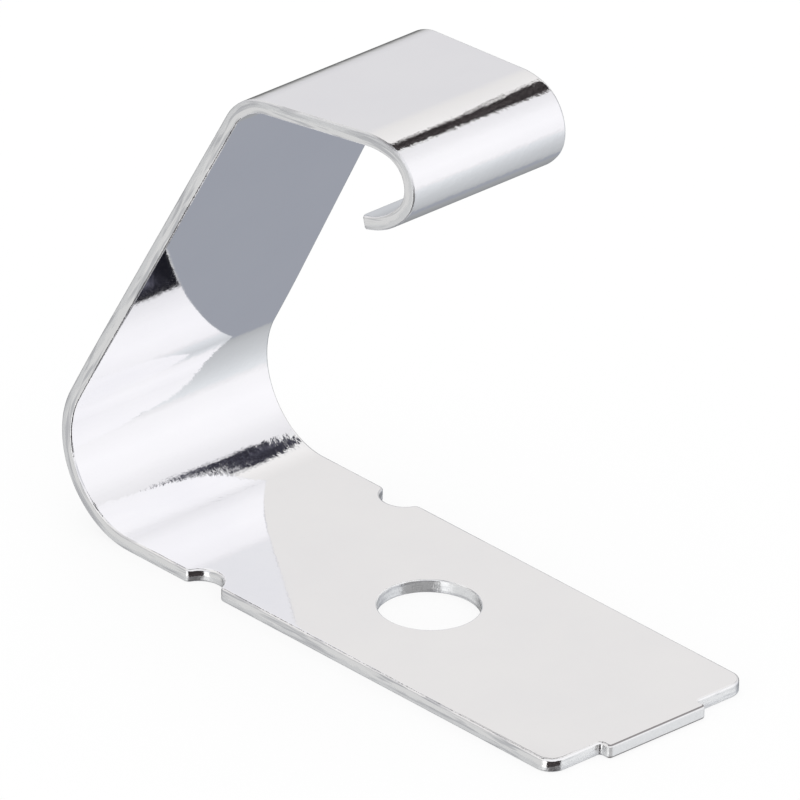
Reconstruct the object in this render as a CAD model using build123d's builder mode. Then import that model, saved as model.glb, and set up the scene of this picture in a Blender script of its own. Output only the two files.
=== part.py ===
"""Spring contact, folded from one strip of plated spring steel that narrows towards its nose.

Frame: the origin is the centre of the screw hole on the underside of the base. X runs along the
base towards its free end, Y across the strip and Z up from the mounting face. Millimetres.
"""
import os

from build123d import *

os.makedirs("parts", exist_ok=True)

# Strip stock, and the small round that blanking and tumbling leave on its edges
sheet = 0.6
strip_width = 11.0
edge_round = 0.1

# Base, measured along X from the screw hole
screw_hole = 4.3
hole_to_free_end = 13.1
hole_to_back_bend = 12.3
end_corner = 0.8

# Stub of the carrier tab that was broken off at the free end
tab_width = 5.4
tab_length = 0.55
tab_corner = 0.2
tab_root = 0.15

# Half-round index notches, one in each long edge of the base
hole_to_notch = 7.65
notch_radius = 1.0
notch_depth = 0.8
notch_shoulder = 0.3

# Folds in order from the base, each with its inside radius and the angle it turns through
back_radius = 3.5
back_turn = 118.2
arm_length = 17.94
knee_radius = 2.1
knee_turn = 55.2
crown_length = 5.59

# Rolled nose: an easy lead-in, the tight nose itself, an easy run-out and the straight lip
lead_in_radius = 3.5
lead_in_turn = 19.0
nose_radius = 1.25
nose_turn = 114.0
run_out_radius = 2.9
run_out_turn = 39.0
lip_length = 0.5
lip_corner = 0.3

# Seen from above, each long side turns in by this angle a little past the root of the arm
side_angle = 4.2
side_blend = 14.0
root_to_narrowing = 0.5

# Two faces that meet at more than this many degrees have an edge to be rounded
sharp_angle = 20.0
touching = 0.001


def fold(before, inside_radius, turn):
    """Bend the middle line upwards and back, starting where the line before it ends."""
    return JernArc(before @ 1, before % 1, inside_radius + sheet / 2, -turn)


def flat(before, length):
    """Carry the middle line straight on from where the fold before it ends."""
    return Line(before @ 1, (before @ 1) + (before % 1) * length)


def is_sharp(edge):
    """Tell whether the faces on the two sides of an edge meet at an angle."""
    one, other = [face for face in contact_strip.faces() if edge in face.edges()]
    middle = edge @ 0.5
    return one.normal_at(middle).get_angle(other.normal_at(middle)) > sharp_angle


with BuildPart() as contact_strip:
    # Base in plan: rounded end corners, the stub of the tab and the two notches
    with BuildSketch(Plane.XY) as base_plan:
        with Locations(((hole_to_free_end - hole_to_back_bend) / 2, 0)):
            Rectangle(hole_to_free_end + hole_to_back_bend, strip_width)
        fillet(base_plan.vertices().group_by(Axis.X)[-1], end_corner)

        with Locations((hole_to_free_end, 0)):
            Rectangle(2 * tab_length, tab_width)
        fillet(base_plan.vertices().group_by(Axis.X)[-1], tab_corner)
        at_tab = base_plan.vertices().filter_by_position(Axis.Y, -tab_width / 2, tab_width / 2)
        tab_roots = at_tab.filter_by_position(
            Axis.X, hole_to_free_end - touching, hole_to_free_end + touching
        )
        fillet(tab_roots, tab_root)

        notch_centre = strip_width / 2 - notch_depth + notch_radius
        with Locations((-hole_to_notch, notch_centre), (-hole_to_notch, -notch_centre)):
            Circle(notch_radius, mode=Mode.SUBTRACT)
        shoulders = base_plan.vertices().filter_by_position(
            Axis.X, -hole_to_notch - notch_radius, -hole_to_notch + notch_radius
        )
        fillet(shoulders, notch_shoulder)
    extrude(amount=sheet)

    # The folded rest in side view, drawn as the middle line of the sheet and then given thickness
    with BuildSketch(Plane.XZ) as side_view:
        with BuildLine() as middle_line:
            bend_start = Line((-hole_to_back_bend + sheet, sheet / 2), (-hole_to_back_bend, sheet / 2))
            back_bend = fold(bend_start, back_radius, back_turn)
            arm = flat(back_bend, arm_length)
            knee = fold(arm, knee_radius, knee_turn)
            crown = flat(knee, crown_length)
            lead_in = fold(crown, lead_in_radius, lead_in_turn)
            nose = fold(lead_in, nose_radius, nose_turn)
            run_out = fold(nose, run_out_radius, run_out_turn)
            lip = flat(run_out, lip_length)
        trace(middle_line.line, sheet)
    extrude(amount=strip_width / 2, both=True)

    # Waste beside the arm, crown and nose, cut away so that they narrow evenly along X
    narrowing_start = (arm @ 0).X + root_to_narrowing
    past_nose = nose.bounding_box().max.X + 2 * sheet
    with BuildSketch(Plane.XY.offset((arm @ 0).Y - sheet)) as waste:
        with BuildLine():
            turn_in = JernArc((narrowing_start, strip_width / 2), (1, 0), side_blend, -side_angle)
            slope = (turn_in % 1).Y / (turn_in % 1).X
            side_end = (past_nose, (turn_in @ 1).Y + slope * (past_nose - (turn_in @ 1).X))
            Polyline(turn_in @ 1, side_end, (past_nose, strip_width / 2), turn_in @ 0)
        make_face()
        mirror(about=Plane.XZ)
    extrude(until=Until.LAST, mode=Mode.SUBTRACT)

    # Corners of the lip
    lip_end = contact_strip.faces().sort_by_distance(((lip @ 1).X, 0, (lip @ 1).Y))[0]
    fillet(lip_end.edges().sort_by(SortBy.LENGTH)[:2], lip_corner)

    # Rounded edges all along the blank, then the screw hole, which is left as punched
    fillet(contact_strip.edges().filter_by(is_sharp), edge_round)
    with Locations(Plane.XY.offset(sheet)):
        Hole(screw_hole / 2, depth=sheet)

contact_strip.part.label = "contact_strip"
export_step(contact_strip.part, "parts/contact_strip.step")
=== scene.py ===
"""Looks of the folded spring contact: one bright plated strip on a pale floor in a light tent.

Sizes are millimetres in the part's own frame, which has the centre of the screw hole on the
underside as its origin, +X towards the free end of the base and +Z up. The strip is made as the
press makes it: a flat blank with its outline, hole and notches, which then takes its folds.
"""
import logging
import math
from dataclasses import dataclass, field
from enum import Enum
from typing import Any

import bmesh
import bpy
from mathutils import Matrix, Vector


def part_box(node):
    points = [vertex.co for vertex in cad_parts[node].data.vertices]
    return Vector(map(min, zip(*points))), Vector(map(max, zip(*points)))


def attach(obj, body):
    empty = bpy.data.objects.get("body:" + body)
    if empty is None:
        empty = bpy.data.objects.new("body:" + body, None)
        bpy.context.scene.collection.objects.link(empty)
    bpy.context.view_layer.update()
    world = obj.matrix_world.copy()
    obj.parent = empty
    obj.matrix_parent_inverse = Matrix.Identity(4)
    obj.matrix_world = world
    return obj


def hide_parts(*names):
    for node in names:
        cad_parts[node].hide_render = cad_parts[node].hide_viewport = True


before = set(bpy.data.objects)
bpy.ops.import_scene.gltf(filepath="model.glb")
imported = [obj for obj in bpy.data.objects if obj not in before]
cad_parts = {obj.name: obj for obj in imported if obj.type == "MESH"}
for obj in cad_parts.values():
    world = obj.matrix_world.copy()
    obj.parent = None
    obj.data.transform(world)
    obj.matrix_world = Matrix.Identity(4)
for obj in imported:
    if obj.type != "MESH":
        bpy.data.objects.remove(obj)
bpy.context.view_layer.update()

log = logging.getLogger("spring_contact")

MM = 0.001
UM = 0.000001
SHEET_MAP = "sheet"
STRAIN_MAP = "strain"

Point = tuple[float, float]
Shape = tuple[list[tuple[float, float, float]], list[tuple[int, ...]]]


class Zone(Enum):
    """The surfaces of the strip that are finished apart."""

    FACE = 0
    EDGE = 1
    STUB = 2
    HOLE = 3


def linear(hex_colour: str) -> tuple[float, float, float, float]:
    """Turn an sRGB hex value into the linear colour that a shader takes.

    Args:
        hex_colour: A # and six hex digits.

    Returns:
        Red, green, blue and an alpha of 1.
    """
    parts = [int(hex_colour[i:i + 2], 16) / 255 for i in (1, 3, 5)]
    red, green, blue = [p / 12.92 if p <= 0.04045 else ((p + 0.055) / 1.055) ** 2.4 for p in parts]
    return red, green, blue, 1.0


def add_node(
    tree: bpy.types.NodeTree, kind: str, inputs: dict[Any, Any] | None = None, **settings: Any
) -> bpy.types.Node:
    """Add a node to a tree with its settings, and its inputs linked or given a value.

    Args:
        tree: The tree that gets the node.
        kind: The node's type name.
        inputs: For a socket's name or number, what it takes: a socket that it is linked to, a node
            to whose first output it is linked, or a value.
        **settings: The node's own properties.

    Returns:
        The node.
    """
    node = tree.nodes.new(kind)
    for name, value in settings.items():
        setattr(node, name, value)
    for key, value in (inputs or {}).items():
        source = value.outputs[0] if isinstance(value, bpy.types.Node) else value
        if isinstance(source, bpy.types.NodeSocket):
            tree.links.new(source, node.inputs[key])
        else:
            node.inputs[key].default_value = source
    return node


def arc(centre: Point, radius: float, start: float, end: float, step: float = 7.5) -> list[Point]:
    """Points along a circular arc, both ends included.

    Args:
        centre: The arc's centre.
        radius: Its radius.
        start: The angle of its first point in degrees.
        end: The angle of its last point in degrees.
        step: The most that one piece may turn through.

    Returns:
        The points in order.
    """
    count = max(2, math.ceil(abs(end - start) / step))
    angles = [math.radians(start + (end - start) * i / count) for i in range(count + 1)]
    return [(centre[0] + radius * math.cos(a), centre[1] + radius * math.sin(a)) for a in angles]


@dataclass(frozen=True)
class Fold:
    """One fold of the strip, about a line across it."""

    name: str
    inside_radius: float
    turn: float


@dataclass(frozen=True)
class StripSizes:
    """The sizes of the strip, flat and folded.

    Its free end, its notches and the start of its back bend are given by their distance from the
    centre of the hole. The folds and flats after that follow one another up to the lip.
    """

    sheet: float = 0.6
    width: float = 11.0
    edge_round: float = 0.1
    hole: float = 4.3
    rim_round: float = 0.05
    free_end: float = 13.1
    back_bend: float = 12.3
    end_corner: float = 0.8
    tab_width: float = 5.4
    tab_length: float = 0.55
    tab_corner: float = 0.2
    tab_root: float = 0.15
    notch_at: float = 7.65
    notch_radius: float = 1.0
    notch_depth: float = 0.8
    notch_shoulder: float = 0.3
    back_fold: Fold = Fold("Back Bend", 3.5, 118.2)
    arm: float = 17.94
    knee: Fold = Fold("Knee", 2.1, 55.2)
    crown: float = 5.59
    lead_in: Fold = Fold("Lead In", 3.5, 19.0)
    nose: Fold = Fold("Nose", 1.25, 114.0)
    run_out: Fold = Fold("Run Out", 2.9, 39.0)
    lip: float = 0.5
    lip_corner: float = 0.3
    side_angle: float = 4.2
    side_blend: float = 14.0
    root_to_narrowing: float = 0.5

    def legs(self) -> list[Fold | float]:
        """List the legs of the strip.

        Returns:
            The folds and the flat lengths between them, in order from the base.
        """
        return [
            self.back_fold, self.arm, self.knee, self.crown,
            self.lead_in, self.nose, self.run_out, self.lip,
        ]

    def middle_radius(self, fold: Fold) -> float:
        """The radius of the sheet's middle in a fold."""
        return fold.inside_radius + self.sheet / 2

    def leg_length(self, leg: Fold | float) -> float:
        """The length of sheet that a fold or a flat takes."""
        return math.radians(leg.turn) * self.middle_radius(leg) if isinstance(leg, Fold) else leg

    def starts(self) -> list[float]:
        """How far from the hole each leg begins.

        Returns:
            The distances along the blank, and last the one at which the strip ends.
        """
        found = [self.back_bend]
        for leg in self.legs():
            found.append(found[-1] + self.leg_length(leg))
        return found

    def folded_x(self, run: float) -> float:
        """Where a line across the blank comes to lie along X once the strip is folded.

        Args:
            run: The line's distance from the hole along the blank.

        Returns:
            The X of the sheet's middle there.
        """
        if run <= self.back_bend:
            return -run
        x, heading, left = -self.back_bend, 180.0, run - self.back_bend
        for leg in self.legs():
            length = self.leg_length(leg)
            part = min(1.0, left / length)
            if isinstance(leg, Fold):
                radius, old = self.middle_radius(leg), math.radians(heading)
                new = math.radians(heading - leg.turn * part)
                x += radius * (math.sin(old) - math.sin(new))
                heading -= leg.turn * part
            else:
                x += math.cos(math.radians(heading)) * length * part
            left -= length * part
            if part < 1.0:
                break
        return x

    def half_width(self, run: float) -> float:
        """Half the width of the blank at a distance from the hole.

        Args:
            run: The distance along the blank.

        Returns:
            Half the width there, which is smaller past the root of the arm.
        """
        root = self.starts()[1]
        beyond = self.folded_x(run) - self.folded_x(root) - self.root_to_narrowing
        if run <= root or beyond <= 0:
            return self.width / 2
        angle = math.radians(self.side_angle)
        blended = self.side_blend * math.sin(angle)
        if beyond < blended:
            return self.width / 2 - self.side_blend + math.sqrt(self.side_blend**2 - beyond**2)
        blended_in = self.side_blend * (1 - math.cos(angle))
        return self.width / 2 - blended_in - math.tan(angle) * (beyond - blended)


@dataclass
class FlatBlank:
    """The blank before it is folded: its outline, rounded edges, hole and notches."""

    sizes: StripSizes

    # Pieces across the strip, and round the hole
    columns: int = 8
    hole_pieces: int = 96

    # Millimetres of a flat, and degrees of a fold, a corner and an edge's round, in one piece
    flat_step: float = 0.9
    fold_step: float = 1.5
    corner_step: float = 15.0
    round_step: float = 22.5

    # Points along each side of the base, and the flat band between its notches and the back bend
    side_points: int = 5
    side_step: float = 3.0
    band_start: float = 9.6
    band_pieces: int = 4

    # Lines this close beside a round or a fold keep the flats evenly shaded up to it
    support: float = 0.04
    wall_support: float = 0.02

    # Stations come no closer together than this, and two heights this close are one level
    closest: float = 0.02
    same_level: float = 1e-4

    # The break takes in this share of the tab's corners
    broken_corner: float = 0.9

    points: list[tuple[float, float, float]] = field(default_factory=list)
    faces: list[tuple[int, ...]] = field(default_factory=list)
    zones: list[Zone] = field(default_factory=list)

    def across(self, half: float) -> list[float]:
        """Places between half the strip's width on one side and on the other, one for each column."""
        return [half * (1 - 2 * k / self.columns) for k in range(1, self.columns)]

    def stations(self) -> list[float]:
        """Find the lines across the blank that take its folds.

        Returns:
            Their distances from the hole, in order.
        """
        s = self.sizes
        found = {self.band_start, s.back_bend - self.support}
        starts = s.starts()
        last = starts[-1] - s.lip_corner
        for leg, start, end in zip(s.legs(), starts, starts[1:]):
            if isinstance(leg, Fold):
                pieces = math.ceil(leg.turn / self.fold_step)
            else:
                pieces = max(1, math.ceil((end - start) / self.flat_step))
                found.update((start + self.support, end - self.support))
            found.update(start + (end - start) * i / pieces for i in range(pieces + 1))
        flat = s.back_bend - self.band_start
        found.update(self.band_start + flat * i / self.band_pieces for i in range(self.band_pieces))
        return sorted(run for run in found if run < last - self.closest) + [last]

    def half_outline(self) -> tuple[list[Point], int]:
        """One side of the outline, from the middle of the tab to the corner of the lip.

        Returns:
            The points on the -Y side, and the number of the first one that is a station.
        """
        s, step = self.sizes, self.corner_step
        half = s.width / 2
        tab_end, tab_half = s.free_end + s.tab_length, s.tab_width / 2
        found: list[Point] = [(tab_end, 0.0), (tab_end, -tab_half / 2)]
        found += arc((tab_end - s.tab_corner, -tab_half + s.tab_corner), s.tab_corner, 0, -90, step)
        found += arc((s.free_end + s.tab_root, -tab_half - s.tab_root), s.tab_root, 90, 180, step)
        found.append((s.free_end, -(tab_half + half - s.end_corner) / 2))
        side = s.free_end - s.end_corner
        found += arc((side, -half + s.end_corner), s.end_corner, 0, -90)
        found += [(side - self.side_step * i, -half) for i in range(1, self.side_points + 1)]

        # A notch, taken along -X: a shoulder, the half-round and the other shoulder
        notch_y = half - s.notch_depth + s.notch_radius
        shoulder_y = half - s.notch_shoulder
        apart = s.notch_radius + s.notch_shoulder
        aside = math.sqrt(apart**2 - (notch_y - shoulder_y) ** 2)
        lean = math.degrees(math.atan2(notch_y - shoulder_y, aside))
        found += arc((-s.notch_at + aside, -shoulder_y), s.notch_shoulder, -90, -180 + lean)
        found += arc((-s.notch_at, -notch_y), s.notch_radius, lean, 180 - lean)[1:-1]
        found += arc((-s.notch_at - aside, -shoulder_y), s.notch_shoulder, -lean, -90)

        first_station = len(found)
        found += [(-run, -s.half_width(run)) for run in self.stations()]
        end = s.starts()[-1]
        end_y = -s.half_width(end)
        found += arc((-end + s.lip_corner, end_y + s.lip_corner), s.lip_corner, 270, 180, step)[1:]
        return found, first_station

    def edge_profile(self, round_radius: float) -> list[Point]:
        """Section of a rounded edge, from the upper face to the lower one.

        Args:
            round_radius: The radius of the two rounds.

        Returns:
            For each level, how far it lies in from the outline and its height.
        """
        s = self.sizes
        middle = (round_radius, s.sheet - round_radius)
        upper = arc(middle, round_radius, 90, 180, self.round_step)
        near_round = round_radius + self.wall_support
        wall = [(0.0, s.sheet - near_round), (0.0, s.sheet / 2), (0.0, near_round)]
        lower = [(inset, s.sheet - height) for inset, height in reversed(upper)]
        outer = round_radius + self.support
        return [(outer, s.sheet), *upper, *wall, *lower, (outer, 0.0)]

    def add_ring_wall(
        self, outline: list[Point], round_radius: float, zones: list[Zone]
    ) -> tuple[int, int]:
        """Add the rounded wall that follows a closed outline.

        Args:
            outline: The outline, with the solid on its right-hand side.
            round_radius: The radius of the wall's two rounds.
            zones: The zone of the wall piece that starts at each point.

        Returns:
            The number of the first vertex of the uppermost level and of the lowest one.
        """
        count = len(outline)
        inward = []
        for i, here in enumerate(outline):
            before, after = outline[i - 1], outline[(i + 1) % count]
            one = Vector((here[0] - before[0], here[1] - before[1])).normalized()
            two = Vector((after[0] - here[0], after[1] - here[1])).normalized()
            along = (one + two).normalized()
            inward.append((along.y, -along.x))
        levels = self.edge_profile(round_radius)
        first = len(self.points)
        for inset, height in levels:
            for (x, y), (nx, ny) in zip(outline, inward):
                self.points.append((x + nx * inset, y + ny * inset, height))
        for level in range(len(levels) - 1):
            upper, lower = first + level * count, first + (level + 1) * count
            for i in range(count):
                j = (i + 1) % count
                self.faces.append((upper + i, lower + i, lower + j, upper + j))
                self.zones.append(Zone.FACE if level in (0, len(levels) - 2) else zones[i])
        return first, first + (len(levels) - 1) * count

    def add_rows(self, ring: int, count: int, first: int, last: int, height: float) -> None:
        """Add the rows of faces that join the two long sides of the folding part.

        Args:
            ring: The number of the first vertex of the level that the rows join.
            count: How many points the outline has.
            first: The point of the outline at which the rows begin.
            last: The point at which they end, beside the end edge.
            height: The height of the level.
        """
        rows = []
        for i in range(first, last + 1):
            near, far = ring + i, ring + (count - i) % count
            if i == last:
                rows.append(list(range(near, far + 1)))
                continue
            x, y = self.points[near][:2]
            start = len(self.points)
            self.points += [(x, place, height) for place in self.across(y)]
            rows.append([near, *range(start, len(self.points)), far])
        for one, two in zip(rows, rows[1:]):
            for k in range(self.columns):
                self.faces.append((one[k], one[k + 1], two[k + 1], two[k]))
                self.zones.append(Zone.FACE)

    def build(self) -> bpy.types.Object:
        """Build the blank in millimetres, with each point's place on the sheet kept beside it.

        Returns:
            An object that holds the blank. Its sheet map is the distance from the hole along the
            blank, the distance across it and the height in the sheet.
        """
        s = self.sizes
        half, first = self.half_outline()
        corner_x, corner_y = half[-1]
        end_edge = [(corner_x, y) for y in self.across(corner_y)]
        outline = half + end_edge + [(x, -y) for x, y in reversed(half[1:])]
        count, last = len(outline), len(half) - 1
        stub_x = s.free_end + s.tab_length - self.broken_corner * s.tab_corner
        zones = [
            Zone.STUB if outline[i][0] > stub_x and outline[(i + 1) % count][0] > stub_x else Zone.EDGE
            for i in range(count)
        ]
        top, bottom = self.add_ring_wall(outline, s.edge_round, zones)
        self.add_rows(top, count, first, last, s.sheet)
        self.add_rows(bottom, count, first, last, 0.0)

        rim = arc((0, 0), s.hole / 2, 0, 360, 360 / self.hole_pieces)[:-1]
        self.add_ring_wall(rim, s.rim_round, [Zone.HOLE] * len(rim))

        mesh = bpy.data.meshes.new("flat_blank")
        mesh.from_pydata(self.points, [], self.faces)
        mesh.polygons.foreach_set("material_index", [zone.value for zone in self.zones])
        self.close_flats(mesh)
        places = mesh.attributes.new(SHEET_MAP, "FLOAT_VECTOR", "POINT")
        for place, vertex in zip(places.data, mesh.vertices):
            place.vector = (-vertex.co.x, vertex.co.y, vertex.co.z)
        mesh.shade_smooth()
        blank = bpy.data.objects.new("flat_blank", mesh)
        bpy.context.scene.collection.objects.link(blank)
        return blank

    def close_flats(self, mesh: bpy.types.Mesh) -> None:
        """Fill the flat faces of the base, round the hole, and turn all faces outwards.

        Args:
            mesh: The mesh of the blank, which is changed in place.
        """
        work = bmesh.new()
        work.from_mesh(mesh)
        for height in (self.sizes.sheet, 0.0):
            rims = [
                edge for edge in work.edges
                if edge.is_boundary and all(abs(v.co.z - height) < self.same_level for v in edge.verts)
            ]
            bmesh.ops.triangle_fill(work, edges=rims, use_beauty=True, use_dissolve=False)
        bmesh.ops.recalc_face_normals(work, faces=work.faces)
        loose = sum(1 for edge in work.edges if not edge.is_manifold)
        if loose:
            raise RuntimeError(f"the blank isn't closed: {loose} edges have no second face")
        work.to_mesh(mesh)
        work.free()


@dataclass
class FoldTree:
    """The node tree that folds a flat blank, one step for each fold, and gives it its finishes."""

    sizes: StripSizes
    finishes: dict[Zone, bpy.types.Material]
    step_inputs: tuple[str, ...] = ("Start", "Inside Radius", "Turn", "Sheet")

    def build_step(self) -> bpy.types.NodeTree:
        """Build the group that makes one fold.

        Past the fold's start each line across the sheet is moved back by the length that the fold
        has used up, and then turned about the fold's axis.

        Returns:
            The group, with the start, inside radius, turn and sheet thickness as named inputs.
        """
        group = bpy.data.node_groups.new("One Fold", "GeometryNodeTree")
        group.interface.new_socket("Geometry", in_out="INPUT", socket_type="NodeSocketGeometry")
        for name in self.step_inputs:
            group.interface.new_socket(name, in_out="INPUT", socket_type="NodeSocketFloat")
        group.interface.new_socket("Geometry", in_out="OUTPUT", socket_type="NodeSocketGeometry")
        given = add_node(group, "NodeGroupInput").outputs

        # The radius of the sheet's middle, and how far round the fold each line across the sheet lies
        place = add_node(
            group, "GeometryNodeInputNamedAttribute", {"Name": SHEET_MAP}, data_type="FLOAT_VECTOR"
        )
        run = add_node(group, "ShaderNodeSeparateXYZ", {0: place}).outputs["X"]
        half_sheet = add_node(group, "ShaderNodeMath", {0: given["Sheet"], 1: 0.5}, operation="MULTIPLY")
        radius = add_node(
            group, "ShaderNodeMath", {0: given["Inside Radius"], 1: half_sheet}, operation="ADD"
        )
        past = add_node(group, "ShaderNodeMath", {0: run, 1: given["Start"]}, operation="SUBTRACT")
        raw = add_node(group, "ShaderNodeMath", {0: past, 1: radius}, operation="DIVIDE")
        angle = add_node(group, "ShaderNodeClamp", {"Value": raw, "Min": 0.0, "Max": given["Turn"]})

        # The way back by the length used up, and the turn about the fold's axis
        used = add_node(group, "ShaderNodeMath", {0: angle, 1: radius}, operation="MULTIPLY")
        back = add_node(group, "ShaderNodeCombineXYZ", {"X": used})
        position = add_node(group, "GeometryNodeInputPosition")
        moved = add_node(group, "ShaderNodeVectorMath", {0: position, 1: back}, operation="ADD")
        axis_x = add_node(group, "ShaderNodeMath", {0: given["Start"], 1: -1.0}, operation="MULTIPLY")
        axis_z = add_node(group, "ShaderNodeMath", {0: radius, 1: half_sheet}, operation="ADD")
        axis = add_node(group, "ShaderNodeCombineXYZ", {"X": axis_x, "Z": axis_z})
        turned = add_node(
            group, "ShaderNodeVectorRotate", {"Vector": moved, "Center": axis, "Angle": angle},
            rotation_type="Y_AXIS",
        )
        folded = add_node(
            group, "GeometryNodeSetPosition", {"Geometry": given["Geometry"], "Position": turned}
        )

        # The strain of the skin in the fold: half the sheet over the radius of its middle
        begun = add_node(group, "ShaderNodeMath", {0: angle, 1: 0.0}, operation="GREATER_THAN")
        going = add_node(group, "ShaderNodeMath", {0: angle, 1: given["Turn"]}, operation="LESS_THAN")
        inside = add_node(group, "ShaderNodeMath", {0: begun, 1: going}, operation="MULTIPLY")
        stretch = add_node(group, "ShaderNodeMath", {0: half_sheet, 1: radius}, operation="DIVIDE")
        here = add_node(group, "ShaderNodeMath", {0: stretch, 1: inside}, operation="MULTIPLY")
        before = add_node(group, "GeometryNodeInputNamedAttribute", {"Name": STRAIN_MAP}, data_type="FLOAT")
        strain = add_node(group, "ShaderNodeMath", {0: before, 1: here}, operation="ADD")
        kept = add_node(
            group, "GeometryNodeStoreNamedAttribute",
            {"Geometry": folded, "Name": STRAIN_MAP, "Value": strain},
            data_type="FLOAT", domain="POINT",
        )
        add_node(group, "NodeGroupOutput", {"Geometry": kept})
        return group

    def fold_values(self) -> dict[str, float]:
        """The values that the whole tree folds by.

        Returns:
            The value of each of its number inputs by the input's name.
        """
        values = {"Sheet": self.sizes.sheet, "Unit": MM}
        for leg, start in zip(self.sizes.legs(), self.sizes.starts()):
            if isinstance(leg, Fold):
                values[f"{leg.name} Start"] = start
                values[f"{leg.name} Inside Radius"] = leg.inside_radius
                values[f"{leg.name} Turn"] = math.radians(leg.turn)
        return values

    def build(self) -> tuple[bpy.types.NodeTree, dict[str, Any]]:
        """Build the whole tree: the folds from the lip back to the base, the scale and the finishes.

        Returns:
            The tree, and the value of each of its inputs by the input's identifier.
        """
        step = self.build_step()
        tree = bpy.data.node_groups.new("Folded Strip", "GeometryNodeTree")
        tree.interface.new_socket("Geometry", in_out="INPUT", socket_type="NodeSocketGeometry")
        settings: dict[str, Any] = {}
        for name, value in self.fold_values().items():
            socket = tree.interface.new_socket(name, in_out="INPUT", socket_type="NodeSocketFloat")
            settings[socket.identifier] = value
        for zone, material in self.finishes.items():
            socket = tree.interface.new_socket(
                f"{zone.name.title()} Finish", in_out="INPUT", socket_type="NodeSocketMaterial"
            )
            settings[socket.identifier] = material
        tree.interface.new_socket("Geometry", in_out="OUTPUT", socket_type="NodeSocketGeometry")
        given = add_node(tree, "NodeGroupInput").outputs

        shape = given["Geometry"]
        for leg in reversed(self.sizes.legs()):
            if isinstance(leg, Fold):
                inputs = {name: given[f"{leg.name} {name}"] for name in self.step_inputs[:3]}
                inputs |= {"Geometry": shape, "Sheet": given["Sheet"]}
                shape = add_node(tree, "GeometryNodeGroup", inputs, node_tree=step, label=leg.name)
        scaled = add_node(tree, "GeometryNodeTransform", {"Geometry": shape, "Scale": given["Unit"]})
        solid = add_node(tree, "GeometryNodeRealizeInstances", {"Geometry": scaled})
        slot = add_node(tree, "GeometryNodeInputMaterialIndex")
        for zone in self.finishes:
            here = add_node(
                tree, "FunctionNodeCompare", {2: slot, 3: zone.value}, data_type="INT", operation="EQUAL"
            )
            finish = given[f"{zone.name.title()} Finish"]
            solid = add_node(
                tree, "GeometryNodeSetMaterial", {"Geometry": solid, "Selection": here, "Material": finish}
            )
        add_node(tree, "NodeGroupOutput", {"Geometry": solid})
        return tree, settings


@dataclass(frozen=True)
class Pattern:
    """An uneven pattern, with its real spacing along, across and through the sheet.

    The spacing is in the unit of the place that the pattern is laid on: millimetres on the strip,
    whose sheet map counts them, and metres on the stage. The other values are those of the noise.
    """

    spacing: tuple[float, float, float]
    detail: float = 3.0
    harshness: float = 0.6
    waver: float = 0.0

    def lay(self, tree: bpy.types.NodeTree, place: bpy.types.NodeSocket) -> bpy.types.Node:
        """Lay the pattern on a surface.

        Args:
            tree: The material's tree.
            place: Where each point of the surface lies.

        Returns:
            The node that gives the pattern's level, from 0 to 1.
        """
        scale = tuple(1 / size for size in self.spacing)
        counted = add_node(tree, "ShaderNodeMapping", {"Vector": place, "Scale": scale})
        shape = {"Detail": self.detail, "Roughness": self.harshness, "Distortion": self.waver}
        return add_node(tree, "ShaderNodeTexNoise", {"Vector": counted, "Scale": 1.0, **shape})


@dataclass(frozen=True)
class Relief:
    """A pattern that stands out of the strip, and further where a fold has strained the sheet.

    Its two heights are in thousandths of a millimetre: that on a flat, and what a strain of 1 adds.
    """

    pattern: Pattern
    height_um: float
    strained_um: float = 0.0

    def lay(
        self, tree: bpy.types.NodeTree, place: bpy.types.NodeSocket, under: bpy.types.Node | None = None
    ) -> bpy.types.Node:
        """Lay the relief on a surface, or on the relief that the surface already has.

        Args:
            tree: The material's tree.
            place: Where each point of the surface lies on the sheet.
            under: The relief beneath this one.

        Returns:
            The node that gives the slope of the surface.
        """
        strain = add_node(tree, "ShaderNodeAttribute", attribute_name=STRAIN_MAP).outputs["Fac"]
        height = add_node(
            tree, "ShaderNodeMath", {0: strain, 1: self.strained_um * UM, 2: self.height_um * UM},
            operation="MULTIPLY_ADD",
        )
        inputs = {"Height": self.pattern.lay(tree, place), "Distance": height, "Strength": 1.0}
        return add_node(tree, "ShaderNodeBump", inputs | ({"Normal": under} if under else {}))


class Finish:
    """The finish of a surface, which makes a material that has the finish's name."""

    name: str

    def surface(self, tree: bpy.types.NodeTree) -> bpy.types.Node:
        """Draw the surface, as each finish does in its own way.

        Args:
            tree: The material's tree.

        Returns:
            The node that gives the finished surface.
        """
        raise NotImplementedError

    def build(self) -> bpy.types.Material:
        """Build the material.

        Returns:
            The material, with the finish's name.
        """
        material = bpy.data.materials.new(self.name)
        material.use_nodes = True
        tree = material.node_tree
        tree.nodes.clear()
        add_node(tree, "ShaderNodeOutputMaterial", {"Surface": self.surface(tree)})
        return material


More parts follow.
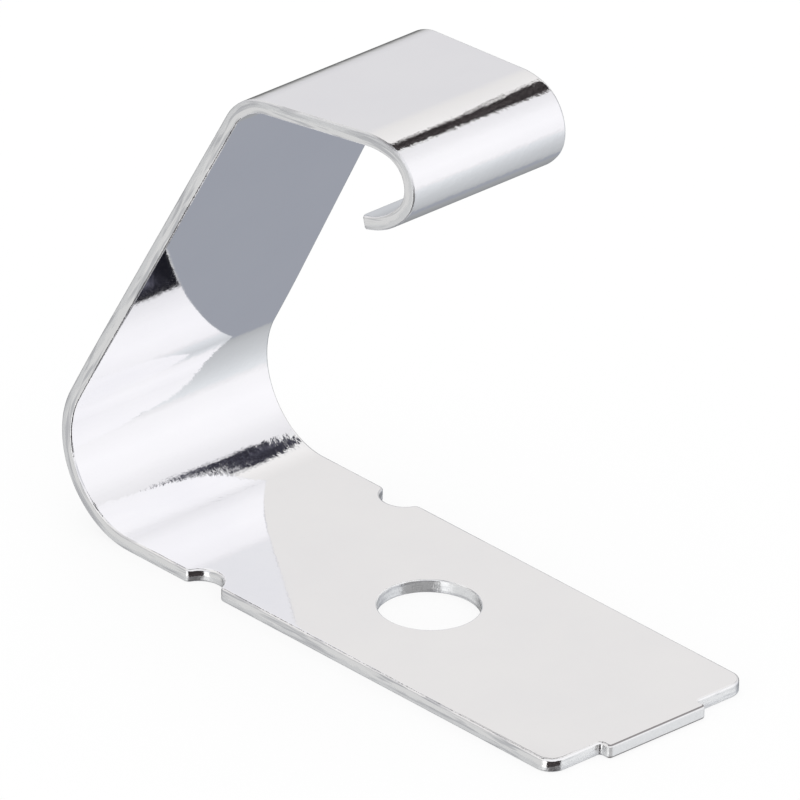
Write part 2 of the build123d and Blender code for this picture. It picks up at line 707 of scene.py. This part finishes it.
@dataclass(frozen=True)
class BrightPlating(Finish):
    """Bright nickel over cold-rolled spring steel, as the faces of the strip show it."""

    # Strip that is rolled cold and barrel plated with levelling nickel is close to a mirror, so its
    # tones are those of whatever stands round it. Where a fold has strained the sheet its skin is
    # rougher and wavier, which frays the edges of the reflections there. The real wave and grain are
    # some 0.1 mm and 0.01 mm wide. A picture of 24 pixels to the millimetre can't show that, so they
    # are drawn 0.4 mm and 0.12 mm wide.
    name: str = "bright_nickel_plate"
    colour: str = "#fefefe"
    clouded: str = "#f8f8fa"
    polished: float = 0.03
    hazed: float = 0.05
    strained: float = 0.2
    peel: Relief = Relief(Pattern((0.4, 0.4, 0.4)), 1.4, 70.0)
    grain: Relief = Relief(Pattern((0.5, 0.12, 0.12), detail=2.0, harshness=0.5), 0.1, 1.0)
    cloud: Pattern = Pattern((4.0, 4.0, 4.0))
    cloud_range: Point = (0.3, 0.7)

    def surface(self, tree: bpy.types.NodeTree) -> bpy.types.Node:
        """Draw the plating on the sheet map, so that its grain follows the folds.

        Args:
            tree: The material's tree.

        Returns:
            The node that gives the finished surface.
        """
        place = add_node(tree, "ShaderNodeAttribute", attribute_name=SHEET_MAP).outputs["Vector"]
        cloud = self.cloud.lay(tree, place)
        low, high = self.cloud_range
        gloss = add_node(
            tree, "ShaderNodeMapRange",
            {
                "Value": cloud, "From Min": low, "From Max": high,
                "To Min": self.polished, "To Max": self.hazed,
            },
        )
        strain = add_node(tree, "ShaderNodeAttribute", attribute_name=STRAIN_MAP).outputs["Fac"]
        satin = add_node(
            tree, "ShaderNodeMath", {0: strain, 1: self.strained, 2: gloss}, operation="MULTIPLY_ADD"
        )
        tone = add_node(
            tree, "ShaderNodeMix", {0: cloud, 6: linear(self.colour), 7: linear(self.clouded)},
            data_type="RGBA",
        )
        return add_node(
            tree, "ShaderNodeBsdfPrincipled",
            {
                "Base Color": tone.outputs[2], "Metallic": 1.0, "Roughness": satin,
                "Normal": self.grain.lay(tree, place, self.peel.lay(tree, place)),
            },
        )


@dataclass(frozen=True)
class BlankedEdge(Finish):
    """Nickel plated spring steel edge, as the blanking die cuts it."""

    # The punch burnishes the first part of a cut edge and tears the rest, and plating keeps both: a
    # brighter band and a duller one with a wandering line between them, fine lines along the edge, and
    # dents from tumbling that glint. Drag marks are some 0.02 mm apart on a real edge and are drawn
    # 0.09 mm apart, two pixels, so that they show. Where the end of the strip was sheared from its
    # neighbour the plating is thin, and that edge is paler and less of a mirror.
    name: str = "blanked_edge_plate"
    colour: str = "#fafafa"
    torn_colour: str = "#f4f5f6"
    line_colour: str = "#d6d7da"
    lines: Pattern = Pattern((2.4, 2.4, 0.18), detail=2.0, waver=0.3)
    line_range: Point = (0.5, 0.62)
    burnished: float = 0.12
    torn: float = 0.42
    split_mm: float = 0.27
    split_wander_mm: float = 0.35
    split_blur_mm: float = 0.035
    wander: Pattern = Pattern((0.7, 0.7, 0.7))
    drag: Relief = Relief(Pattern((0.09, 0.09, 0.9)), 3.0)
    dents: Relief = Relief(Pattern((0.35, 0.35, 0.35)), 26.0)
    metal: float = 1.0
    parted_at_mm: float = StripSizes.free_end
    parted_within_mm: float = 0.02
    parted_metal: float = 0.55

    def surface(self, tree: bpy.types.NodeTree) -> bpy.types.Node:
        """Draw the edge, with the drag marks of the die running through the sheet.

        Args:
            tree: The material's tree.

        Returns:
            The node that gives the finished surface.
        """
        place = add_node(tree, "ShaderNodeAttribute", attribute_name=SHEET_MAP).outputs["Vector"]
        apart = add_node(tree, "ShaderNodeSeparateXYZ", {0: place}).outputs
        split = add_node(
            tree, "ShaderNodeMath",
            {0: self.wander.lay(tree, place), 1: self.split_wander_mm, 2: apart["Z"]},
            operation="MULTIPLY_ADD",
        )
        middle = self.split_mm + self.split_wander_mm / 2
        low, high = middle - self.split_blur_mm, middle + self.split_blur_mm
        band = add_node(tree, "ShaderNodeMapRange", {"Value": split, "From Min": low, "From Max": high})
        plain = add_node(
            tree, "ShaderNodeMix", {0: band, 6: linear(self.torn_colour), 7: linear(self.colour)},
            data_type="RGBA",
        )
        lines = self.lines.lay(tree, place)
        low, high = self.line_range
        lined = add_node(tree, "ShaderNodeMapRange", {"Value": lines, "From Min": low, "From Max": high})
        tone = add_node(
            tree, "ShaderNodeMix", {0: lined, 6: plain.outputs[2], 7: linear(self.line_colour)},
            data_type="RGBA",
        )
        gloss = add_node(
            tree, "ShaderNodeMapRange", {"Value": band, "To Min": self.torn, "To Max": self.burnished}
        )
        at_end = add_node(
            tree, "ShaderNodeMath", {0: apart["X"], 1: -self.parted_at_mm, 2: self.parted_within_mm},
            operation="COMPARE",
        )
        metal = add_node(
            tree, "ShaderNodeMapRange", {"Value": at_end, "To Min": self.metal, "To Max": self.parted_metal}
        )
        return add_node(
            tree, "ShaderNodeBsdfPrincipled",
            {
                "Base Color": tone.outputs[2], "Metallic": metal, "Roughness": gloss,
                "Normal": self.drag.lay(tree, place, self.dents.lay(tree, place)),
            },
        )


@dataclass(frozen=True)
class BrokenStub(Finish):
    """Bare spring steel where the carrier tab was snapped off after plating."""

    # The tab is scored from both sides and snapped, so its end has a dark line above and below, where
    # the scores ran, and between them a pale, grainy break that is only half a mirror. The crystals of
    # a real break are some 0.02 mm across and are drawn 0.12 mm across, three pixels, so that they show.
    name: str = "broken_tab_steel"
    sheet: float = StripSizes.sheet
    colour: str = "#fbfbfb"
    pit_colour: str = "#e6e7e8"
    rough: float = 0.3
    metal: float = 0.5
    grain: Relief = Relief(Pattern((0.12, 0.12, 0.12), detail=4.0, harshness=0.65), 4.0)
    score_colour: str = "#8f8b8c"
    score_mm: float = 0.06

    # The middle of the break is at this share of the sheet's thickness, and the line of a score comes
    # in between these shares of its own width, counted from the face of the sheet
    break_middle: float = 0.55
    score_fade: Point = (0.8, 0.4)

    def surface(self, tree: bpy.types.NodeTree) -> bpy.types.Node:
        """Draw the break's grain between the two lines of the scores.

        Args:
            tree: The material's tree.

        Returns:
            The node that gives the finished surface.
        """
        place = add_node(tree, "ShaderNodeAttribute", attribute_name=SHEET_MAP).outputs["Vector"]
        crystals = self.grain.pattern.lay(tree, place)
        broken = add_node(
            tree, "ShaderNodeMix", {0: crystals, 6: linear(self.pit_colour), 7: linear(self.colour)},
            data_type="RGBA",
        )
        height = add_node(tree, "ShaderNodeSeparateXYZ", {0: place}).outputs["Z"]
        middle = self.sheet * self.break_middle
        from_middle = add_node(tree, "ShaderNodeMath", {0: height, 1: middle}, operation="SUBTRACT")
        away = add_node(tree, "ShaderNodeMath", {0: from_middle}, operation="ABSOLUTE")
        low, high = [self.sheet - middle - share * self.score_mm for share in self.score_fade]
        scored = add_node(tree, "ShaderNodeMapRange", {"Value": away, "From Min": low, "From Max": high})
        tone = add_node(
            tree, "ShaderNodeMix", {0: scored, 6: broken.outputs[2], 7: linear(self.score_colour)},
            data_type="RGBA",
        )
        return add_node(
            tree, "ShaderNodeBsdfPrincipled",
            {
                "Base Color": tone.outputs[2], "Metallic": self.metal, "Roughness": self.rough,
                "Normal": self.grain.lay(tree, place),
            },
        )


@dataclass
class ContactStrip:
    """The spring contact itself, one folded strip."""

    sizes: StripSizes = field(default_factory=StripSizes)
    plating: BrightPlating = field(default_factory=BrightPlating)
    edge: BlankedEdge = field(default_factory=BlankedEdge)
    stub: BrokenStub = field(default_factory=BrokenStub)

    # A punched hole is burnished only close under its upper rim, and is torn more finely below than
    # the outer edge. Plating comes out thin in a hole, so its wall is less of a mirror.
    hole: BlankedEdge = BlankedEdge(
        name="punched_hole_plate", split_mm=0.5, split_wander_mm=0.1, torn=0.24, metal=0.6
    )
    closeness_mm: float = 0.05

    def build(self) -> None:
        """Fold the blank, dress it and let it stand for the CAD node."""
        finishes = {
            Zone.FACE: self.plating.build(),
            Zone.EDGE: self.edge.build(),
            Zone.STUB: self.stub.build(),
            Zone.HOLE: self.hole.build(),
        }
        blank = FlatBlank(self.sizes).build()
        for material in finishes.values():
            blank.data.materials.append(material)
        tree, settings = FoldTree(self.sizes, finishes).build()
        modifier = blank.modifiers.new("folds", "NODES")
        modifier.node_group = tree
        for identifier, value in settings.items():
            modifier[identifier] = value
        graph = bpy.context.evaluated_depsgraph_get()
        mesh = bpy.data.meshes.new_from_object(
            blank.evaluated_get(graph), preserve_all_data_layers=True, depsgraph=graph
        )
        mesh.name = "folded_strip"
        bpy.data.objects.remove(blank)
        piece = bpy.data.objects.new("folded_strip", mesh)
        bpy.context.scene.collection.objects.link(piece)
        self.compare(piece)
        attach(piece, "root")
        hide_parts("contact_strip")
        log.info("folded strip: %d faces, materials %s", len(mesh.polygons), mesh.materials.keys())

    def compare(self, piece: bpy.types.Object) -> None:
        """Stop the script if the folded strip doesn't fill the box of the CAD solid.

        Args:
            piece: The folded strip.
        """
        low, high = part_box("contact_strip")
        for axis, letter in enumerate("XYZ"):
            values = [vertex.co[axis] for vertex in piece.data.vertices]
            for mine, solid in ((min(values), low[axis]), (max(values), high[axis])):
                if abs(mine - solid) > self.closeness_mm * MM:
                    raise RuntimeError(f"the strip ends at {letter} {mine:.5f}, its solid at {solid:.5f}")


NEUTRAL, BLUE, COOL, LILAC, WARM = "#ffffff", "#ecf1ff", "#f8fbff", "#fdfcff", "#fffdfc"


@dataclass(frozen=True)
class TentCloth(Finish):
    """The white cloth of a light tent, lit from outside, which the strip mirrors.

    Its brightness goes by the angle round the Y axis. Each stop is such an angle in degrees, from +X
    over +Z, with the light's level and tint there.
    """

    # Thin white cloth evens out the lamps behind it, so all its changes are soft: brightest over the
    # free end, a little warmer and greyer behind the arm, and darkest low down, towards the table.
    name: str = "tent_cloth"
    stops: tuple[tuple[float, float, str], ...] = (
        (-180, 0.55, NEUTRAL), (-172, 0.30, NEUTRAL), (-165, 0.16, NEUTRAL), (-146, 0.16, NEUTRAL),
        (-140, 0.29, COOL), (-130, 0.31, COOL), (-112, 0.37, COOL), (-100, 0.40, BLUE),
        (-91, 0.40, BLUE), (-87, 0.47, COOL), (-72, 0.55, COOL), (-56, 0.605, COOL), (-43, 0.67, COOL),
        (-33, 0.74, COOL), (-23, 0.83, COOL), (-19, 0.86, LILAC), (-12, 0.96, LILAC), (18, 1.01, LILAC),
        (45, 0.98, LILAC), (64, 0.90, LILAC), (83, 0.84, LILAC), (91, 0.88, NEUTRAL), (118, 0.90, WARM),
        (130, 0.85, WARM), (144, 0.81, WARM), (157, 0.75, LILAC), (170, 0.70, LILAC),
    )

    # Low down in front the cloth has this level, which comes in between two places along Y and Z
    front_low: float = 0.68
    front_fade: Point = (0.1, -0.4)
    low_fade: Point = (0.05, -0.25)

    def surface(self, tree: bpy.types.NodeTree) -> bpy.types.Node:
        """Draw the glowing cloth from the tent's own object coordinates.

        Args:
            tree: The material's tree.

        Returns:
            The node that gives the finished surface.
        """
        place = add_node(tree, "ShaderNodeTexCoord").outputs["Object"]
        apart = add_node(tree, "ShaderNodeSeparateXYZ", {0: place}).outputs
        angle = add_node(tree, "ShaderNodeMath", {0: apart["Z"], 1: apart["X"]}, operation="ARCTAN2")
        turn = add_node(
            tree, "ShaderNodeMapRange", {"Value": angle, "From Min": -math.pi, "From Max": math.pi}
        )
        ramp = add_node(tree, "ShaderNodeValToRGB", {"Fac": turn})
        elements = ramp.color_ramp.elements
        for number, (degrees, level, tint) in enumerate(sorted(self.stops)):
            at = (degrees + 180) / 360
            element = elements[number] if number < 2 else elements.new(at)
            element.position = at
            red, green, blue, alpha = linear(tint)
            element.color = (red * level, green * level, blue * level, alpha)
        elements.new(1.0).color = elements[0].color
        front, low = [
            add_node(
                tree, "ShaderNodeMapRange", {"Value": apart[axis], "From Min": start, "From Max": end},
                interpolation_type="SMOOTHSTEP",
            )
            for axis, (start, end) in (("Y", self.front_fade), ("Z", self.low_fade))
        ]
        share = add_node(tree, "ShaderNodeMath", {0: front, 1: low}, operation="MULTIPLY")
        tone = add_node(
            tree, "ShaderNodeMix", {0: share, 6: ramp, 7: (self.front_low,) * 3 + (1.0,)},
            data_type="RGBA",
        )
        return add_node(tree, "ShaderNodeEmission", {"Color": tone.outputs[2], "Strength": 1.0})


@dataclass(frozen=True)
class WhitePaper(Finish):
    """Matt white paper, lit from all round, for the floor."""

    # A sweep of matt paper under so much light photographs as plain white, with a faint, soft shadow
    # where a part stands on it. So it glows by itself to the lens, and takes light for the rest.
    name: str = "white_paper"
    colour: str = "#f6f6f6"
    glowing: float = 0.85

    def surface(self, tree: bpy.types.NodeTree) -> bpy.types.Node:
        """Draw the paper, whose glow is seen by the camera and in the metal only.

        Args:
            tree: The material's tree.

        Returns:
            The node that gives the finished surface.
        """
        path = add_node(tree, "ShaderNodeLightPath").outputs
        seen = path["Is Camera Ray"]
        for kind in ("Is Glossy Ray", "Is Transmission Ray"):
            seen = add_node(tree, "ShaderNodeMath", {0: seen, 1: path[kind]}, operation="MAXIMUM")
        share = add_node(tree, "ShaderNodeMath", {0: seen, 1: self.glowing}, operation="MULTIPLY")
        matt = add_node(tree, "ShaderNodeBsdfDiffuse", {"Color": linear(self.colour)})
        white = add_node(tree, "ShaderNodeEmission", {"Color": linear(NEUTRAL), "Strength": 1.0})
        return add_node(tree, "ShaderNodeMixShader", {0: share, 1: matt, 2: white})


@dataclass(frozen=True)
class Felt(Finish):
    """Wool felt of a flag, black or nearly so, seen from below only, which glows with its own tones as
    painted light.
    """

    # Pressed felt swallows nearly all light, so a flag mirrors as an almost black shape. Its nap lies in
    # paler strands along X, which mottle that shape. A half-shade flag is clear wherever its strands would
    # be pale, so it mirrors as patchy grey: painted shade, where the tent's light falls off beside a dark
    # flag. Strands are some 0.05 mm wide on real felt and are drawn 0.4 mm wide, so that they show in the
    # metal.
    name: str
    dark: str
    pale: str
    see_through: float = 0.0
    strand_range: Point = (0.5, 0.7)
    bounces: float = 0.5
    nap: Pattern = Pattern((0.004, 0.0004, 0.0004), harshness=0.65)

    def surface(self, tree: bpy.types.NodeTree) -> bpy.types.Node:
        """Draw the felt, which shows after more reflections than its bounces say.

        Args:
            tree: The material's tree.

        Returns:
            The node that gives the finished surface.
        """
        nap = self.nap.lay(tree, add_node(tree, "ShaderNodeTexCoord").outputs["Object"])
        low, high = self.strand_range
        strands = add_node(tree, "ShaderNodeMapRange", {"Value": nap, "From Min": low, "From Max": high})
        tone = add_node(
            tree, "ShaderNodeMix", {0: strands, 6: linear(self.dark), 7: linear(self.pale)},
            data_type="RGBA",
        )
        # Painted light: the felt glows with its tones, paler along its strands, in place of the tent's
        # light falling on it.
        under = add_node(tree, "ShaderNodeEmission", {"Color": tone.outputs[2], "Strength": 1.0})
        clear = add_node(tree, "ShaderNodeBsdfTransparent")
        side = add_node(tree, "ShaderNodeNewGeometry").outputs["Backfacing"]
        depth = add_node(tree, "ShaderNodeLightPath").outputs["Ray Depth"]
        late = add_node(tree, "ShaderNodeMath", {0: depth, 1: self.bounces}, operation="GREATER_THAN")
        below = add_node(tree, "ShaderNodeMath", {0: side, 1: late}, operation="MULTIPLY")
        # A half-shade felt is clear where its strands are pale, so it mirrors as patchy painted shade.
        whole = add_node(
            tree, "ShaderNodeMath", {0: strands, 1: -self.see_through, 2: 1.0}, operation="MULTIPLY_ADD"
        )
        shown = add_node(tree, "ShaderNodeMath", {0: below, 1: whole}, operation="MULTIPLY")
        return add_node(tree, "ShaderNodeMixShader", {0: shown, 1: clear, 2: under})


@dataclass(frozen=True)
class LitCloth(Finish):
    """A strip of the tent's white cloth with a lamp right behind it."""

    # It is evenly bright, and mirrors in the wall of the screw hole as one small white glint.
    name: str = "lit_cloth"
    colour: str = NEUTRAL
    strength: float = 1.3

    def surface(self, tree: bpy.types.NodeTree) -> bpy.types.Node:
        """Draw the glowing cloth.

        Args:
            tree: The material's tree.

        Returns:
            The node that gives the finished surface.
        """
        inputs = {"Color": linear(self.colour), "Strength": self.strength}
        return add_node(tree, "ShaderNodeEmission", inputs)


@dataclass(frozen=True)
class Flag:
    """A level card of felt that hangs over the strip, in metres."""

    name: str
    height: float
    finish: Felt
    outline: tuple[Point, ...]

    def shape(self) -> Shape:
        """The card's points and its one face."""
        return [(x, y, self.height) for x, y in self.outline], [tuple(range(len(self.outline)))]


@dataclass(frozen=True)
class CurvedCard:
    """An upright card that curves round the strip, low on the camera's side.

    It runs between two angles from +X, and between two elevations that are given by their sines. Its
    distance is in metres, and its step is the angle that one piece of it takes.
    """

    name: str
    finish: Finish
    azimuths: Point
    sines: Point
    distance: float = 0.25
    step: float = 6.0

    def shape(self) -> Shape:
        """Bend the card round the strip.

        Returns:
            Its points, first those of its lower side, and its faces.
        """
        points = []
        for sine in self.sines:
            ring = arc((0, 0), self.distance * math.sqrt(1 - sine**2), *self.azimuths, self.step)
            points += [(x, y, self.distance * sine) for x, y in ring]
        count = len(points) // 2
        return points, [(i, i + 1, count + i + 1, count + i) for i in range(count - 1)]


BLACK_FELT = Felt("black_felt", "#221f20", "#8a8283")
# Half-shade felts: patchy grey that mirrors as painted shade, where the tent's light falls off beside a
# dark flag.
HALF_SHADE_FELT = Felt("worn_felt", "#4a4645", "#a9a2a2", see_through=1.0, strand_range=(0.43, 0.55))
BLUE_FELT = Felt("blue_felt", "#22222b", "#777685")
HALF_SHADE_BLUE_FELT = Felt("worn_blue_felt", "#4b4b57", "#a8a7b3", see_through=1.0, strand_range=(0.43, 0.55))
FAR_FELT = Felt("far_felt", "#121218", "#2a2a33", bounces=1.5)
NOSE_HEIGHT, BEND_HEIGHT, FRINGE_BEHIND = 0.040, 0.024, 0.0005

# What stands in the tent is known by what the strip mirrors. The nose flag gives the ragged dark
# streak along the rolled nose, and the bend flag the one in the back bend. The half-shade fringe of each
# gives the grey smears beside it: painted shade, where the tent's light falls off beside the flag. Both
# run on past the sides of the strip, because the wave of the plating would fray an end that shows. The
# arm flag gives the dark corner high on the arm, which mirrors it by way of the base and so shows it
# after a second reflection only.
FLAGS = (
    Flag("nose_flag", NOSE_HEIGHT, BLACK_FELT, (
        (0.0012, -0.0300), (0.0014, 0.0095), (0.0012, 0.0107), (0.0014, 0.0128), (0.0024, 0.0139),
        (0.0018, 0.0150), (0.0021, 0.0160), (0.0030, 0.0168), (0.0034, 0.0220), (-0.0086, 0.0220),
        (-0.0090, 0.0186), (-0.0086, 0.0176), (-0.0073, 0.0160), (-0.0056, 0.0142), (-0.0060, 0.0132),
        (-0.0069, 0.0125), (-0.0058, 0.0108), (-0.0066, 0.0100), (-0.0066, -0.0300),
    )),
    Flag("nose_fringe", NOSE_HEIGHT + FRINGE_BEHIND, HALF_SHADE_FELT, (
        (0.0026, 0.0080), (0.0028, 0.0125), (0.0036, 0.0160), (0.0046, 0.0200), (-0.0108, 0.0200),
        (-0.0108, 0.0186), (-0.0102, 0.0170), (-0.0091, 0.0156), (-0.0078, 0.0140), (-0.0085, 0.0125),
        (-0.0078, 0.0108), (-0.0084, 0.0080),
    )),
    Flag("bend_flag", BEND_HEIGHT, BLUE_FELT, (
        (-0.0100, 0.0165), (-0.0104, 0.0173), (-0.0108, 0.0185), (-0.0105, 0.0198), (-0.0103, 0.0208),
        (-0.0109, 0.0214), (-0.0125, 0.0219), (-0.0149, 0.0225), (-0.0172, 0.0236), (-0.0182, 0.0236),
        (-0.0199, 0.0227), (-0.0211, 0.0219), (-0.0215, 0.0209), (-0.0206, 0.0200), (-0.0162, 0.0188),
        (-0.0136, 0.0179), (-0.0120, 0.0171), (-0.0106, 0.0160),
    )),
    Flag("bend_fringe", BEND_HEIGHT + FRINGE_BEHIND, HALF_SHADE_BLUE_FELT, (
        (-0.0087, 0.0160), (-0.0090, 0.0185), (-0.0088, 0.0208), (-0.0106, 0.0219), (-0.0138, 0.0228),
        (-0.0162, 0.0238), (-0.0190, 0.0238), (-0.0234, 0.0222), (-0.0234, 0.0205), (-0.0210, 0.0193),
        (-0.0155, 0.0180), (-0.0106, 0.0154),
    )),
    Flag("arm_flag", 0.113, FAR_FELT, (
        (-0.030, 0.075), (0.017, 0.075), (0.017, 0.105), (-0.030, 0.105),
    )),
)

# The front card gives the dark corners that face the camera and the grey in the hole's wall, the
# under card the thin dark line along the arm's inner rim, and the bright strip the hole's glint.
CURVED_CARDS = (
    CurvedCard("front_flag", BLACK_FELT, (-62, 20), (-0.9, -0.05)),
    CurvedCard("under_flag", BLACK_FELT, (-90, 60), (-0.985, -0.86)),
    CurvedCard("bright_strip", LitCloth(), (-90, -64), (-0.7, -0.2)),
)

# What gives the strip its reflections is seen in the metal and nowhere else
ALL_BUT_GLOSSY = ("camera", "diffuse", "transmission", "volume_scatter", "shadow")


@dataclass
class Studio:
    """Pale floor, light tent with its flags, soft lamp and plain white world, in metres."""

    floor_half: float = 3.0
    paper: WhitePaper = field(default_factory=WhitePaper)
    tent_radius: float = 0.8
    tent_segments: int = 64
    tent_rings: int = 32
    cloth: TentCloth = field(default_factory=TentCloth)
    cards: tuple[Flag | CurvedCard, ...] = (*FLAGS, *CURVED_CARDS)
    lamp_size: float = 0.5
    lamp_power: float = 0.6
    lamp_place: tuple[float, float, float] = (-0.25, 0.1, 0.6)

    def put(
        self, mesh: bpy.types.Mesh, material: bpy.types.Material, unseen_by: tuple[str, ...]
    ) -> bpy.types.Object:
        """Put a mesh on the stage.

        Args:
            mesh: The mesh, in metres.
            material: Its material.
            unseen_by: The kinds of ray that pass it by.

        Returns:
            The object, which has the mesh's name.
        """
        mesh.materials.append(material)
        prop = bpy.data.objects.new(mesh.name, mesh)
        bpy.context.scene.collection.objects.link(prop)
        for ray in unseen_by:
            setattr(prop, f"visible_{ray}", False)
        log.info("stage: %s", prop.name)
        return prop

    def build_floor(self) -> None:
        """Build the floor, which the metal mirrors as part of the tent and not by itself."""
        half = self.floor_half
        mesh = bpy.data.meshes.new("floor")
        corners = [(-half, -half, 0), (half, -half, 0), (half, half, 0), (-half, half, 0)]
        mesh.from_pydata(corners, [], [(0, 1, 2, 3)])
        self.put(mesh, self.paper.build(), ("glossy",))

    def build_tent(self) -> None:
        """Build the tent, a ball of cloth round the strip whose own radius is 1 to its finish."""
        mesh = bpy.data.meshes.new("light_tent")
        work = bmesh.new()
        bmesh.ops.create_uvsphere(
            work, u_segments=self.tent_segments, v_segments=self.tent_rings, radius=1.0
        )
        work.to_mesh(mesh)
        work.free()
        self.put(mesh, self.cloth.build(), ALL_BUT_GLOSSY).scale = (self.tent_radius,) * 3

    def build_cards(self) -> None:
        """Build the level flags and the curved cards."""
        materials: dict[Finish, bpy.types.Material] = {}
        for card in self.cards:
            if card.finish not in materials:
                materials[card.finish] = card.finish.build()
            points, faces = card.shape()
            mesh = bpy.data.meshes.new(card.name)
            mesh.from_pydata(points, [], faces)
            self.put(mesh, materials[card.finish], ALL_BUT_GLOSSY)

    def build_lamp(self) -> None:
        """Build the soft lamp, high behind the arm, that gives the floor its shadow."""
        data = bpy.data.lights.new("soft_lamp", "AREA")
        data.shape = "SQUARE"
        data.size = self.lamp_size
        data.energy = self.lamp_power
        lamp = bpy.data.objects.new("soft_lamp", data)
        lamp.location = self.lamp_place
        lamp.rotation_euler = (-lamp.location).to_track_quat("-Z", "Y").to_euler()
        lamp.visible_glossy = False
        lamp.visible_camera = False
        bpy.context.scene.collection.objects.link(lamp)

    def build_world(self) -> None:
        """Build the plain white world."""
        world = bpy.data.worlds.new("white_surround")
        world.use_nodes = True
        background = world.node_tree.nodes["Background"]
        background.inputs["Color"].default_value = linear(NEUTRAL)
        background.inputs["Strength"].default_value = 1.0
        bpy.context.scene.world = world

    def build(self) -> None:
        """Build all that stands round the strip."""
        self.build_floor()
        self.build_tent()
        self.build_cards()
        self.build_lamp()
        self.build_world()


@dataclass(frozen=True)
class PhotoCamera:
    """A long lens at the photograph's viewing angle.

    Its angles are in degrees, and its distance and the point that it looks at in millimetres.
    """

    azimuth: float = 46.5925
    elevation: float = 27.949
    roll: float = 1.2618
    distance: float = 1105.507
    target: tuple[float, float, float] = (-3.96424, 1.854, 7.82933)
    focal_px: float = 27049.4
    frame_px: float = 800.0
    sensor: float = 36.0
    clip: Point = (0.05, 50.0)

    def build(self) -> None:
        """Build the camera and make it the scene's own."""
        a, e, r = (math.radians(v) for v in (self.azimuth, self.elevation, self.roll))
        back = Vector((math.sin(a) * math.cos(e), -math.cos(a) * math.cos(e), math.sin(e)))
        level = Vector((math.cos(a), math.sin(a), 0))
        upright = back.cross(level)
        right = math.cos(r) * level + math.sin(r) * upright
        up = back.cross(right)
        data = bpy.data.cameras.new("camera")
        data.sensor_fit = "HORIZONTAL"
        data.sensor_width = self.sensor
        data.lens = self.focal_px / self.frame_px * self.sensor
        data.clip_start, data.clip_end = self.clip
        camera = bpy.data.objects.new("camera", data)
        place = (Vector(self.target) + back * self.distance) * MM
        turn = Matrix((right, up, back)).transposed().to_4x4()
        camera.matrix_world = Matrix.Translation(place) @ turn
        bpy.context.scene.collection.objects.link(camera)
        bpy.context.scene.camera = camera


def main() -> None:
    """Build the strip, the studio and the camera."""
    logging.basicConfig(level=logging.INFO, format="%(name)s: %(message)s")
    bpy.context.scene.view_settings.view_transform = "Standard"
    ContactStrip().build()
    Studio().build()
    PhotoCamera().build()
    bpy.context.view_layer.update()


if __name__ == "__main__":
    main()
